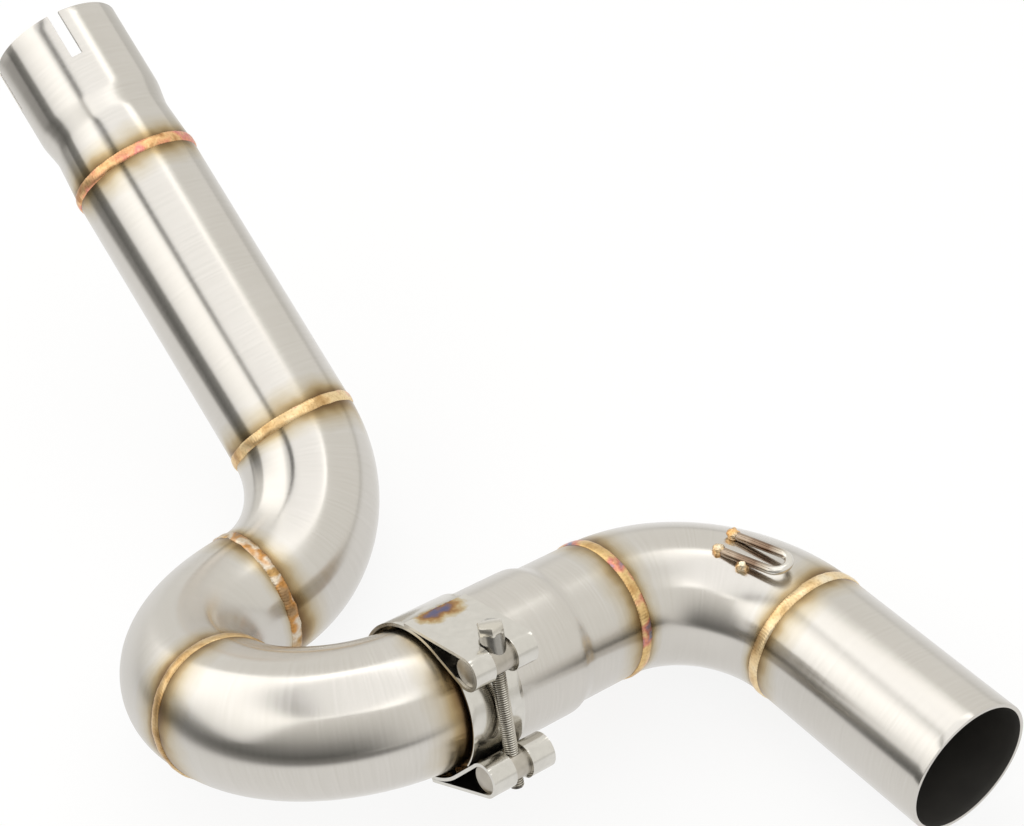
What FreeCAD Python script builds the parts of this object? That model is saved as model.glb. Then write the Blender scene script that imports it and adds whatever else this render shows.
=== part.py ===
# Motorcycle exhaust mid-pipe. A slotted inlet socket, a straight tube and three welded bends slip
# into the socket of the outlet half, and a single-bolt clamp holds the two halves together.
# Millimetres, +Z up. The pipe lies as it comes to rest on a flat surface.
import FreeCAD, Part
import Sketcher
import math
import os
from FreeCAD import Vector

# Driving dimensions, one row each: name, value, meaning
SIZES = (
    ("tube_outer", 51.0, "outside diameter of every tube"),
    ("tube_wall", 1.5, "wall of every tube and socket"),
    ("bend_radius", 51.0, "centre-line radius of every bend"),
    ("inlet_bore", 48.6, "bore of the inlet socket"),
    ("inlet_parallel", 36.0, "depth of the parallel inlet bore"),
    ("waist_outer", 48.4, "outside diameter of the waist behind the inlet socket"),
    ("waist_at", 45.0, "distance of the waist from the inlet rim"),
    ("inlet_length", 64.1, "inlet rim to the first weld"),
    ("inlet_blend", 9.0, "blend radius where the inlet socket turns in and out"),
    ("slot_width", 4.5, "width of the clamping slots"),
    ("slot_length", 19.5, "length of the inlet socket's clamping slots"),
    ("hidden_slot_length", 15.0, "length of the outlet socket's slots, under the clamp"),
    ("slot_count", 4, "clamping slots round each socket"),
    ("slot_turn", 16.5, "turn of the inlet slots from the plane of the first bend"),
    ("straight_length", 120.6, "length of the straight tube"),
    ("upper_angle", 86.8, "turn of the first bend"),
    ("middle_angle", 87.4, "turn of the second bend"),
    ("middle_twist", -128.7, "twist of the second bend from the plane of the first"),
    ("middle_leg", 6.1, "straight leg after the second bend"),
    ("lower_angle", 93.1, "turn of the third bend"),
    ("lower_twist", -6.1, "twist of the third bend from the plane of the second"),
    ("joint_length", 73.6, "end of the third bend to the outlet weld"),
    ("mouth_gap", 0.5, "end of the third bend to the mouth of the outlet socket"),
    ("joint_clearance", 0.25, "radial clearance of the slip joint"),
    ("step_back", 24.5, "small end of the socket step to the outlet weld"),
    ("step_length", 5.0, "length of the socket step"),
    ("step_blend", 3.0, "blend radius of the socket step"),
    ("spigot_end_gap", 1.0, "end of the spigot to the socket step"),
    ("outlet_angle", 92.7, "turn of the fourth bend"),
    ("outlet_twist", -161.1, "twist of the fourth bend from the plane of the third"),
    ("tail_length", 78.1, "length of the tail tube"),
    ("weld_width", 6.0, "width of a weld bead at its root"),
    ("weld_height", 0.9, "height of a weld bead above the tube"),
    ("weld_root", 0.3, "depth that the bead profile reaches below the tube surface"),
    ("weld_land", 2.6, "length of the tail turned down by that depth under its weld"),
    ("hook_wire", 3.2, "wire of the spring hook"),
    ("hook_spacing", 9.4, "distance between the hook's legs"),
    ("hook_length", 18.2, "foot to the closed end of the hook"),
    ("hook_foot", 6.0, "length of leg behind the foot"),
    ("hook_at", 58.8, "place of the hook along the fourth bend"),
    ("hook_turn", -81.7, "place of the hook round the fourth bend"),
    ("hook_heading", 17.0, "turn of the hook towards the inside of the bend"),
    ("hook_rise", 9.0, "rise of the hook from the tube"),
    ("tack_radius", 2.4, "radius of the hook's tack welds"),
    ("tack_behind", 0.7, "distance of the end tacks behind the hook's legs"),
    ("tack_side", 1.4, "distance of the side tack from its leg"),
    ("tack_ahead", 4.0, "distance of the side tack ahead of the foot"),
    ("clamp_ahead", 4.8, "end of the third bend to the middle of the clamp"),
    ("clamp_turn", 179.0, "place of the bolt round the slip joint"),
    ("band_width", 26.0, "width of the clamp band"),
    ("band_thickness", 1.2, "sheet of the clamp band"),
    ("band_fit", 0.05, "clearance of the band on the socket and the barrels"),
    ("band_tail", 5.0, "angle of band that lies on itself after each loop"),
    ("barrel_diameter", 10.0, "diameter of the clamp's two barrels"),
    ("barrel_inset", 1.0, "distance of a barrel's end from the edge of the band"),
    ("barrel_spacing", 39.0, "distance between the two barrels"),
    ("bridge_thickness", 0.8, "sheet of the bridge under the bolt"),
    ("bridge_inset", 2.0, "distance of the bridge's side from the edge of the band"),
    ("bridge_end_gap", 14.5, "angle from the end of the bridge to where the band lifts off"),
    ("bolt_diameter", 5.0, "thread of the clamp bolt"),
    ("bolt_gap", 0.6, "gap between the bolt and the bridge"),
    ("bolt_clearance", 0.15, "radial clearance of the bolt in the plain barrel and the sleeve"),
    ("thread_fit", 0.02, "radial clearance of the bolt in the tapped barrel"),
    ("bolt_overhang", 3.0, "length of bolt past the tapped barrel"),
    ("head_flats", 8.0, "width of the bolt head across its flats"),
    ("head_height", 3.5, "height of the bolt head"),
    ("sleeve_outer", 8.4, "outside diameter of the sleeve under the head"),
    ("sleeve_length", 5.0, "sleeve from the barrel's crown to the head"),
    ("sleeve_gap", 0.5, "clearance of the sleeve in the band's slot"),
    ("thread_gap", 1.0, "clearance of the bolt in the other slot of the band"),
    ("seam_radius", 1.1, "radius of the weld at the end of each fold of the band"),
    ("seam_length", 16.0, "length of the weld at the end of each fold of the band"),
    ("rest_yaw", -64.29, "turn of the inlet axis about the vertical"),
    ("rest_pitch", 120.04, "turn of the inlet axis down from the vertical"),
    ("rest_roll", -102.87, "roll of the pipe about the inlet axis"),
    ("rest_x", 0.0, "place of the inlet rim"),
    ("rest_y", 0.0, "place of the inlet rim"),
    ("rest_z", 0.0, "place of the inlet rim"),
)

doc = FreeCAD.newDocument("exhaust_mid_pipe")
sheet = doc.addObject("Spreadsheet::Sheet", "Sizes")
for row, (name, size, meaning) in enumerate(SIZES, 1):
    sheet.set(f"A{row}", meaning)
    sheet.set(f"B{row}", str(size))
    sheet.setAlias(f"B{row}", name)
doc.recompute()

parts = []
AXES = {"x": (1, 0, 0), "y": (0, 1, 0), "z": (0, 0, 1), "cycle": (1, 1, 1)}


def value(expression):
    """The number that an expression has now."""
    return float(sheet.evalExpression(expression))


def step(x="0", y="0", z="0", axis="z", angle="0"):
    """Expression for a placement: a shift and then a turn about a local axis."""
    ux, uy, uz = AXES[axis]
    shift = f"create(<<vector>>; {x}; {y}; {z})"
    turn = f"create(<<rotation>>; create(<<vector>>; {ux}; {uy}; {uz}); {angle})"
    return f"create(<<placement>>; {shift}; {turn})"


def round_bend(angle):
    """Expression for the end of a bend that turns towards local +X."""
    x = f"Sizes.bend_radius * (1 - cos({angle}))"
    z = f"Sizes.bend_radius * sin({angle})"
    return step(x=x, z=z, axis="y", angle=angle)


def station(name, *steps):
    """A coordinate system on the pipe, with Z along the tube and X towards the bend's centre."""
    frame = doc.addObject("Part::LocalCoordinateSystem", name)
    frame.setExpression("Placement", " * ".join(steps))
    return f"{name}.Placement"


def add(kind, name, place=None, **sizes):
    """A document object with its sizes bound to the sheet."""
    item = doc.addObject(kind, name)
    for size, expression in sizes.items():
        item.setExpression(size, expression)
    if place:
        item.setExpression("Placement", place)
    return item


def keep(item, name):
    """Makes an object one of the part's pieces."""
    item.Label = name
    parts.append(item)
    return item


def cut(base, *tools):
    """The base with each tool taken away in turn."""
    for tool in tools:
        trimmed = doc.addObject("Part::Cut", f"{base.Name}_trimmed")
        trimmed.Base = base
        trimmed.Tool = tool
        base = trimmed
    return base


def fuse(name, *items):
    joined = doc.addObject("Part::MultiFuse", name)
    joined.Shapes = list(items)
    joined.Refine = True
    return joined


def sketch_on(body, role, name):
    """A sketch on one of the body's own origin planes."""
    plane = next(item for item in body.Origin.OriginFeatures if item.Role == role)
    sketch = body.newObject("Sketcher::SketchObject", name)
    sketch.AttachmentSupport = (plane, [""])
    sketch.MapMode = "FlatFace"
    return sketch


def bind(sketch, expression, *constraint):
    """A dimension of the sketch that follows the sheet."""
    index = sketch.addConstraint(Sketcher.Constraint(*constraint, value(expression)))
    sketch.setExpression(f"Constraints[{index}]", expression)


def ring_sketch(body, name, reach=None):
    """The tube's section, on the origin or at a distance along -X from it."""
    sketch = sketch_on(body, "XY_Plane", name)
    centre = Vector(-value(reach), 0, 0) if reach else Vector(0, 0, 0)
    for diameter in ("Sizes.tube_outer", "Sizes.tube_outer - 2 * Sizes.tube_wall"):
        circle = Part.Circle(centre, Vector(0, 0, 1), value(diameter) / 2)
        index = sketch.addGeometry(circle)
        if reach:
            sketch.addConstraint(Sketcher.Constraint("PointOnObject", index, 3, -1))
            bind(sketch, reach, "DistanceX", index, 3, -1, 1)
        else:
            sketch.addConstraint(Sketcher.Constraint("Coincident", index, 3, -1, 1))
        bind(sketch, diameter, "Diameter", index)
    return sketch


def outline_sketch(body, name, corners):
    """A closed outline in the XZ plane, from pairs of expressions for X and Z."""
    sketch = sketch_on(body, "XZ_Plane", name)
    points = [Vector(value(x), value(z), 0) for x, z in corners]
    last = len(points) - 1
    for index, point in enumerate(points):
        following = points[0] if index == last else points[index + 1]
        sketch.addGeometry(Part.LineSegment(point, following))
    for index, (x, z) in enumerate(corners):
        before = last if index == 0 else index - 1
        sketch.addConstraint(Sketcher.Constraint("Coincident", before, 2, index, 1))
        bind(sketch, x, "DistanceX", -1, 1, index, 1)
        if z == "0":
            sketch.addConstraint(Sketcher.Constraint("PointOnObject", index, 1, -1))
        else:
            bind(sketch, z, "DistanceY", -1, 1, index, 1)
    return sketch


def revolve(body, name, sketch, angle="360"):
    turned = body.newObject("PartDesign::Revolution", name)
    turned.Profile = sketch
    turned.ReferenceAxis = (sketch, ["V_Axis"])
    turned.setExpression("Angle", angle)
    return turned


def pad(body, name, sketch, length):
    raised = body.newObject("PartDesign::Pad", name)
    raised.Profile = sketch
    raised.setExpression("Length", length)
    return raised


def straight_tube(name, place, length):
    body = add("PartDesign::Body", name, place)
    pad(body, f"{name}_pad", ring_sketch(body, f"{name}_section"), length)
    return keep(body, name)


def bend_tube(name, place, angle, leg=None):
    """A bend whose centre is the body's origin, with an optional straight leg after it."""
    body = add("PartDesign::Body", name, f"{place} * {step(x='Sizes.bend_radius')}")
    section = ring_sketch(body, f"{name}_section", "Sizes.bend_radius")
    revolve(body, f"{name}_turn", section, angle)
    if leg:
        end = ring_sketch(body, f"{name}_end", "Sizes.bend_radius")
        end.setExpression("AttachmentOffset", step(axis="y", angle=angle))
        pad(body, f"{name}_leg", end, leg)
    return keep(body, name)


def blend(body, base, name, radius, corners):
    """Rounds the circular edges that pass through the given corners of the outline."""
    doc.recompute()
    wanted = [(value(x), value(z)) for x, z in corners]
    edges = []
    for index, edge in enumerate(base.Shape.Edges, 1):
        if not isinstance(edge.Curve, Part.Circle):
            continue
        here = (edge.Curve.Radius, edge.Curve.Center.z)
        if any(math.dist(here, corner) < 1e-4 for corner in wanted):
            edges.append(f"Edge{index}")
    rounded = body.newObject("PartDesign::Fillet", name)
    rounded.Base = (base, edges)
    rounded.setExpression("Radius", radius)
    return rounded


def cut_slots(body, name, length, reach):
    """The slots that let a clamp close the socket's mouth."""
    half = "Sizes.slot_width / 2"
    outline = sketch_on(body, "XZ_Plane", f"{name}_outline")
    low = Vector(-value(half), 0, 0)
    high = Vector(value(half), value(length), 0)
    right = Vector(high.x, low.y, 0)
    left = Vector(low.x, high.y, 0)
    for first, second in ((low, right), (right, high), (high, left), (left, low)):
        outline.addGeometry(Part.LineSegment(first, second))
    for index in range(4):
        outline.addConstraint(Sketcher.Constraint("Coincident", index, 2, (index + 1) % 4, 1))
    outline.addConstraint(Sketcher.Constraint("Horizontal", 2))
    outline.addConstraint(Sketcher.Constraint("Vertical", 1))
    outline.addConstraint(Sketcher.Constraint("Vertical", 3))
    outline.addConstraint(Sketcher.Constraint("Symmetric", 0, 1, 0, 2, -1, 1))
    bind(outline, "Sizes.slot_width", "DistanceX", 0, 1, 0, 2)
    bind(outline, length, "DistanceY", 1, 1, 1, 2)
    pocket = body.newObject("PartDesign::Pocket", f"{name}_pocket")
    pocket.Profile = outline
    pocket.setExpression("Length", reach)
    pattern = body.newObject("PartDesign::PolarPattern", f"{name}_pattern")
    pattern.Originals = [pocket]
    pattern.Axis = (outline, ["V_Axis"])
    pattern.Angle = 360
    pattern.setExpression("Occurrences", "Sizes.slot_count")
    body.Tip = pattern


def weld_bead(name, place, *tubes):
    """A low round bead on the seam of two tubes, seated on their outer surfaces."""
    body = add("PartDesign::Body", f"{name}_ring", place)
    root = "Sizes.tube_outer / 2 - Sizes.weld_root"
    rise = "(Sizes.weld_height + Sizes.weld_root)"
    radius = f"(Sizes.weld_width ^ 2 / 4 + {rise} ^ 2) / (2 * {rise})"
    sketch = sketch_on(body, "XZ_Plane", f"{name}_profile")
    low = Vector(value(root), -value("Sizes.weld_width / 2"), 0)
    top = Vector(value(f"{root} + {rise}"), 0, 0)
    high = Vector(low.x, -low.y, 0)
    sketch.addGeometry(Part.LineSegment(high, low))
    sketch.addGeometry(Part.Arc(low, top, high))
    sketch.addConstraint(Sketcher.Constraint("Coincident", 0, 2, 1, 1))
    sketch.addConstraint(Sketcher.Constraint("Coincident", 0, 1, 1, 2))
    sketch.addConstraint(Sketcher.Constraint("Symmetric", 0, 1, 0, 2, -1))
    bind(sketch, root, "DistanceX", -1, 1, 0, 1)
    bind(sketch, "Sizes.weld_width", "Distance", 0)
    bind(sketch, radius, "Radius", 1)
    revolve(body, f"{name}_turn", sketch)
    return keep(cut(body, *tubes), name)


# Stations along the pipe
INLET = station(
    "inlet",
    step("Sizes.rest_x", "Sizes.rest_y", "Sizes.rest_z", angle="Sizes.rest_yaw"),
    step(axis="y", angle="Sizes.rest_pitch"),
    step(angle="Sizes.rest_roll"),
)
SOCKET_SEAM = station("socket_seam", INLET, step(z="Sizes.inlet_length"))
UPPER_SEAM = station("upper_seam", SOCKET_SEAM, step(z="Sizes.straight_length"))
MIDDLE_SEAM = station(
    "middle_seam", UPPER_SEAM, round_bend("Sizes.upper_angle"), step(angle="Sizes.middle_twist")
)
LOWER_SEAM = station(
    "lower_seam",
    MIDDLE_SEAM,
    round_bend("Sizes.middle_angle"),
    step(z="Sizes.middle_leg", angle="Sizes.lower_twist"),
)
JOINT_START = station("joint_start", LOWER_SEAM, round_bend("Sizes.lower_angle"))
OUTLET_SEAM = station(
    "outlet_seam", JOINT_START, step(z="Sizes.joint_length", angle="Sizes.outlet_twist")
)
TAIL_SEAM = station("tail_seam", OUTLET_SEAM, round_bend("Sizes.outlet_angle"))
CLAMP = station(
    "clamp_middle",
    JOINT_START,
    step(z="Sizes.clamp_ahead", angle="Sizes.clamp_turn"),
)
HOOK = station(
    "hook_foot",
    OUTLET_SEAM,
    round_bend("Sizes.hook_at"),
    step(angle="Sizes.hook_turn"),
    step(x="Sizes.tube_outer / 2 + Sizes.hook_wire / 2", axis="x", angle="-Sizes.hook_heading"),
    step(axis="y", angle="Sizes.hook_rise"),
)
doc.recompute()

# Inlet socket: an expanded, slotted mouth with a waist behind it
TUBE_R = "Sizes.tube_outer / 2"
TUBE_BORE_R = "(Sizes.tube_outer / 2 - Sizes.tube_wall)"
INLET_R = "(Sizes.inlet_bore / 2 + Sizes.tube_wall)"
inlet_socket = add(
    "PartDesign::Body", "inlet_socket", f"{INLET} * {step(angle='Sizes.slot_turn')}"
)
inlet_outside = (
    (INLET_R, "Sizes.inlet_parallel"),
    ("Sizes.waist_outer / 2", "Sizes.waist_at"),
)
inlet_inside = (
    ("Sizes.waist_outer / 2 - Sizes.tube_wall", "Sizes.waist_at"),
    ("Sizes.inlet_bore / 2", "Sizes.inlet_parallel"),
)
inlet_profile = outline_sketch(
    inlet_socket,
    "inlet_profile",
    (
        (INLET_R, "0"),
        *inlet_outside,
        (TUBE_R, "Sizes.inlet_length"),
        (TUBE_BORE_R, "Sizes.inlet_length"),
        *inlet_inside,
        ("Sizes.inlet_bore / 2", "0"),
    ),
)
inlet_turn = revolve(inlet_socket, "inlet_turn", inlet_profile)
blend(inlet_socket, inlet_turn, "inlet_rounding", "Sizes.inlet_blend", inlet_outside + inlet_inside)
cut_slots(inlet_socket, "inlet_slots", "Sizes.slot_length", INLET_R)
keep(inlet_socket, "inlet_socket")

# Straight tube and the three bends of the inlet half
straight = straight_tube("straight_tube", SOCKET_SEAM, "Sizes.straight_length")
upper_bend = bend_tube("upper_bend", UPPER_SEAM, "Sizes.upper_angle")
middle_bend = bend_tube("middle_bend", MIDDLE_SEAM, "Sizes.middle_angle", "Sizes.middle_leg")
SPIGOT = "Sizes.joint_length - Sizes.step_back - Sizes.step_length - Sizes.spigot_end_gap"
lower_bend = bend_tube("lower_bend", LOWER_SEAM, "Sizes.lower_angle", SPIGOT)

# Outlet socket: the spigot slips into its mouth, and a step leads back to the tube
SOCKET_BORE_R = "(Sizes.tube_outer / 2 + Sizes.joint_clearance)"
SOCKET_R = f"({SOCKET_BORE_R} + Sizes.tube_wall)"
MOUTH_LENGTH = "(Sizes.joint_length - Sizes.mouth_gap)"
STEP_END = f"({MOUTH_LENGTH} - Sizes.step_back)"
STEP_START = f"({STEP_END} - Sizes.step_length)"
outlet_socket = add(
    "PartDesign::Body",
    "outlet_socket",
    f"{CLAMP} * {step(z='Sizes.mouth_gap - Sizes.clamp_ahead')}",
)
outlet_outside = ((SOCKET_R, STEP_START), (TUBE_R, STEP_END))
outlet_inside = ((TUBE_BORE_R, STEP_END), (SOCKET_BORE_R, STEP_START))
outlet_profile = outline_sketch(
    outlet_socket,
    "outlet_profile",
    (
        (SOCKET_R, "0"),
        *outlet_outside,
        (TUBE_R, MOUTH_LENGTH),
        (TUBE_BORE_R, MOUTH_LENGTH),
        *outlet_inside,
        (SOCKET_BORE_R, "0"),
    ),
)
outlet_turn = revolve(outlet_socket, "outlet_turn", outlet_profile)
blend(outlet_socket, outlet_turn, "outlet_rounding", "Sizes.step_blend", outlet_outside + outlet_inside)
cut_slots(outlet_socket, "outlet_slots", "Sizes.hidden_slot_length", SOCKET_R)
keep(outlet_socket, "outlet_socket")

# Fourth bend and tail tube of the outlet half
outlet_bend = bend_tube("outlet_bend", OUTLET_SEAM, "Sizes.outlet_angle")
LAND_R = f"({TUBE_R} - Sizes.weld_root)"
tail = add("PartDesign::Body", "tail_tube", TAIL_SEAM)
tail_profile = outline_sketch(
    tail,
    "tail_profile",
    (
        (LAND_R, "0"),
        (LAND_R, "Sizes.weld_land"),
        (TUBE_R, "Sizes.weld_land"),
        (TUBE_R, "Sizes.tail_length"),
        (TUBE_BORE_R, "Sizes.tail_length"),
        (TUBE_BORE_R, "0"),
    ),
)
revolve(tail, "tail_turn", tail_profile)
keep(tail, "tail_tube")

# Weld beads, one on each seam
weld_bead("socket_weld", SOCKET_SEAM, inlet_socket, straight)
weld_bead("upper_weld", UPPER_SEAM, straight, upper_bend)
weld_bead("middle_weld", MIDDLE_SEAM, upper_bend, middle_bend)
weld_bead("lower_weld", LOWER_SEAM, middle_bend, lower_bend)
weld_bead("outlet_weld", OUTLET_SEAM, outlet_socket, outlet_bend)
weld_bead("tail_weld", TAIL_SEAM, outlet_bend, tail)

# Spring hook: a U of wire whose legs are tacked to the fourth bend
WIRE_R = "Sizes.hook_wire / 2"
LEG_Y = "Sizes.hook_spacing / 2"
LEG_END = "Sizes.hook_length - Sizes.hook_spacing / 2"
crook = add(
    "Part::Torus",
    "hook_crook",
    f"{HOOK} * {step(z=LEG_END, axis='cycle', angle='120')}",
    Radius1=LEG_Y,
    Radius2=WIRE_R,
    Angle3="180",
)
legs = []
for side, y in (("left", LEG_Y), ("right", f"-{LEG_Y}")):
    leg = add(
        "Part::Cylinder",
        f"hook_leg_{side}",
        f"{HOOK} * {step(y=y, z='-Sizes.hook_foot')}",
        Radius=WIRE_R,
        Height=f"{LEG_END} + Sizes.hook_foot",
    )
    legs.append(leg)
hook_loop = fuse("hook_loop", crook, *legs)
bend_core = add(
    "Part::Torus",
    "bend_core",
    f"{OUTLET_SEAM} * {step(x='Sizes.bend_radius', axis='x', angle='90')}",
    Radius1="Sizes.bend_radius",
    Radius2=TUBE_R,
)
keep(cut(hook_loop, bend_core), "spring_hook")

# Tack welds at the hook's feet and beside one leg
TACK_DEPTH = "Sizes.tack_radius - Sizes.tube_wall / 2 - Sizes.hook_wire / 2"
TACK_Z = "-Sizes.hook_foot - Sizes.tack_behind"
TACK_PLACES = (
    (LEG_Y, TACK_Z),
    (f"-{LEG_Y}", TACK_Z),
    (f"{LEG_Y} + Sizes.tack_side", "Sizes.tack_ahead"),
)
tacks = []
for index, (y, z) in enumerate(TACK_PLACES, 1):
    ball = add(
        "Part::Sphere",
        f"tack_{index}",
        f"{HOOK} * {step(axis='y', angle='-Sizes.hook_rise')} * {step(TACK_DEPTH, y, z)}",
        Radius="Sizes.tack_radius",
    )
    tacks.append(cut(ball, hook_loop, bend_core))
hook_welds = doc.addObject("Part::Compound", "hook_welds")
hook_welds.Links = tacks
keep(hook_welds, "hook_welds")

# Clamp: the barrels lie beside the bolt, which runs along local Y above the bridge
BARREL_R = "Sizes.barrel_diameter / 2"
BOLT_R = "Sizes.bolt_diameter / 2"
BARREL_Y = "Sizes.barrel_spacing / 2"
BARREL_LENGTH = "(Sizes.band_width - 2 * Sizes.barrel_inset)"
BRIDGE_R = f"({SOCKET_R} + Sizes.band_fit)"
BRIDGE_TOP_R = f"({BRIDGE_R} + Sizes.bridge_thickness)"
BOLT_X = f"({BRIDGE_TOP_R} + Sizes.bolt_gap + {BOLT_R})"
HEAD_Y = f"({BARREL_Y} + {BARREL_R} + Sizes.sleeve_length)"
TIP_Y = f"({BARREL_Y} + {BARREL_R} + Sizes.bolt_overhang)"


def rod_along_bolt(name, start, length, radius):
    """A cylinder on the bolt's axis, from a place along it towards the tapped barrel."""
    place = f"{CLAMP} * {step(BOLT_X, start, axis='x', angle='-90')}"
    return add("Part::Cylinder", name, place, Radius=radius, Height=length)


def barrel(name, y, hole_radius):
    """A round bar across the band with a hole for the bolt."""
    bar = add(
        "Part::Cylinder",
        f"{name}_bar",
        f"{CLAMP} * {step(BOLT_X, y, f'-{BARREL_LENGTH} / 2')}",
        Radius=BARREL_R,
        Height=BARREL_LENGTH,
    )
    hole = rod_along_bolt(f"{name}_hole", f"{y} - {BARREL_R}", f"2 * {BARREL_R}", hole_radius)
    return keep(cut(bar, hole), name)


plain_barrel = barrel("plain_barrel", f"-{BARREL_Y}", f"{BOLT_R} + Sizes.bolt_clearance")
tapped_barrel = barrel("tapped_barrel", BARREL_Y, f"{BOLT_R} + Sizes.thread_fit")

# Sleeve between the plain barrel and the bolt head, coped to the barrel
sleeve_tube = rod_along_bolt(
    "sleeve_tube", f"-{HEAD_Y}", f"{HEAD_Y} - {BARREL_Y}", "Sizes.sleeve_outer / 2"
)
sleeve_hole = rod_along_bolt(
    "sleeve_hole", f"-{HEAD_Y}", f"{HEAD_Y} - {BARREL_Y}", f"{BOLT_R} + Sizes.bolt_clearance"
)
keep(cut(sleeve_tube, sleeve_hole, plain_barrel), "clamp_sleeve")

# Bolt: a hexagon head on a plain rod of the thread's diameter
bolt_head = add(
    "Part::Prism",
    "bolt_head",
    f"{CLAMP} * {step(BOLT_X, f'-{HEAD_Y} - Sizes.head_height', axis='x', angle='-90')}",
    Circumradius="Sizes.head_flats / sqrt(3)",
    Height="Sizes.head_height",
)
bolt_rod = rod_along_bolt("bolt_rod", f"-{HEAD_Y}", f"{HEAD_Y} + {TIP_Y}", BOLT_R)
keep(fuse("bolt_solid", bolt_head, bolt_rod), "clamp_bolt")

# Angles round the clamp: barrel, lift-off of the band and landing of its fold
ring_r = value(f"{SOCKET_R} + Sizes.band_fit + Sizes.band_thickness / 2")
loop_r = value(f"{BARREL_R} + Sizes.band_fit + Sizes.band_thickness / 2")
fold_r = ring_r + value("Sizes.band_thickness + Sizes.band_fit")
barrel_x = value(BOLT_X)
barrel_y = value(BARREL_Y)
reach = math.hypot(barrel_x, barrel_y)
barrel_angle = math.atan2(barrel_y, barrel_x)
lift_angle = barrel_angle + math.acos((ring_r + loop_r) / reach)
land_angle = barrel_angle + math.acos((fold_r - loop_r) / reach)
tail_angle = land_angle + math.radians(value("Sizes.band_tail"))


def on_circle(centre, radius, angle):
    return centre + Vector(radius * math.cos(angle), radius * math.sin(angle), 0)


def offset_edges(arcs, offset):
    """The arcs of a path moved to its left by an offset, joined by straight edges."""
    edges = []
    end = None
    for centre, radius, first, last in arcs:
        turned_left = last > first
        moved = radius - offset if turned_left else radius + offset
        start = on_circle(centre, moved, first)
        if end:
            edges.append(Part.makeLine(end, start))
        middle = on_circle(centre, moved, (first + last) / 2)
        end = on_circle(centre, moved, last)
        edges.append(Part.Arc(start, middle, end).toShape())
    return edges


# Clamp band: one strip that goes round the socket, round both barrels and back onto itself
axis_point = Vector(0, 0, 0)
tapped_point = Vector(barrel_x, barrel_y, 0)
plain_point = Vector(barrel_x, -barrel_y, 0)
band_path = (
    (axis_point, fold_r, tail_angle, land_angle),
    (tapped_point, loop_r, land_angle, lift_angle - math.pi),
    (axis_point, ring_r, lift_angle, 2 * math.pi - lift_angle),
    (plain_point, loop_r, math.pi - lift_angle, -land_angle),
    (axis_point, fold_r, -land_angle, -tail_angle),
)
half_sheet = value("Sizes.band_thickness / 2")
left_edges = offset_edges(band_path, half_sheet)
right_edges = offset_edges(band_path, -half_sheet)
caps = [
    Part.makeLine(left_edges[0].firstVertex().Point, right_edges[0].firstVertex().Point),
    Part.makeLine(left_edges[-1].lastVertex().Point, right_edges[-1].lastVertex().Point),
]
outline = Part.Wire(Part.__sortEdges__(left_edges + right_edges + caps))
band_width = value("Sizes.band_width")
strip = Part.Face(outline).extrude(Vector(0, 0, band_width))
strip.translate(Vector(0, 0, -band_width / 2))
loop_reach = loop_r + half_sheet
for direction, half_slot in (
    (1, value(f"{BOLT_R} + Sizes.thread_gap")),
    (-1, value("Sizes.sleeve_outer / 2 + Sizes.sleeve_gap")),
):
    middle = Vector(barrel_x, direction * barrel_y, 0)
    length = 2 * loop_reach + half_slot
    hole = Part.makeCylinder(
        half_slot, length, middle - Vector(0, length / 2, 0), Vector(0, 1, 0)
    )
    corner = middle - Vector(0, length / 2, half_slot)
    window = Part.makeBox(loop_reach + half_slot, length, 2 * half_slot, corner)
    strip = strip.cut(hole.fuse(window))
clamp_band = doc.addObject("Part::Feature", "clamp_band")
clamp_band.Shape = strip
clamp_band.setExpression("Placement", CLAMP)
keep(clamp_band, "clamp_band")

# Bridge: a curved strip that closes the gap between the band's ends under the bolt
BRIDGE_HALF_WIDTH = "(Sizes.band_width / 2 - Sizes.bridge_inset)"
bridge_half_angle = math.degrees(lift_angle) - value("Sizes.bridge_end_gap")
clamp_bridge = add(
    "PartDesign::Body",
    "clamp_bridge",
    f"{CLAMP} * {step(z=f'-{BRIDGE_HALF_WIDTH}', angle=str(-bridge_half_angle))}",
)
bridge_profile = outline_sketch(
    clamp_bridge,
    "bridge_profile",
    (
        (BRIDGE_R, "0"),
        (BRIDGE_TOP_R, "0"),
        (BRIDGE_TOP_R, f"2 * {BRIDGE_HALF_WIDTH}"),
        (BRIDGE_R, f"2 * {BRIDGE_HALF_WIDTH}"),
    ),
)
revolve(clamp_bridge, "bridge_turn", bridge_profile, str(2 * bridge_half_angle))
keep(clamp_bridge, "clamp_bridge")

# Seam welds that hold the two folds of the band down
seams = []
for side, angle in (("tapped", tail_angle), ("plain", -tail_angle)):
    spot = on_circle(axis_point, fold_r - half_sheet, angle)
    rod = add(
        "Part::Cylinder",
        f"seam_{side}",
        f"{CLAMP} * {step(str(spot.x), str(spot.y), '-Sizes.seam_length / 2')}",
        Radius="Sizes.seam_radius",
        Height="Sizes.seam_length",
    )
    seams.append(cut(rod, clamp_band))
band_welds = doc.addObject("Part::Compound", "band_welds")
band_welds.Links = seams
keep(band_welds, "band_welds")


def check_pieces():
    """Stops at an object that failed without raising, or at a piece with no valid shape."""
    for item in doc.Objects:
        faults = [state for state in item.State if state in ("Invalid", "Error")]
        if faults:
            raise RuntimeError(f"{item.Label} is {faults}")
    for item in parts:
        if item.Shape.isNull() or not item.Shape.isValid():
            raise RuntimeError(f"{item.Label} has no valid shape")


doc.recompute()
check_pieces()

# The pipe is set down on the floor, with its box centred on the origin
whole = FreeCAD.BoundBox()
for item in parts:
    whole.add(item.Shape.optimalBoundingBox(False, False))
sheet.set("rest_x", str(-whole.Center.x))
sheet.set("rest_y", str(-whole.Center.y))
sheet.set("rest_z", str(-whole.ZMin))
doc.recompute()
check_pieces()

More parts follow.
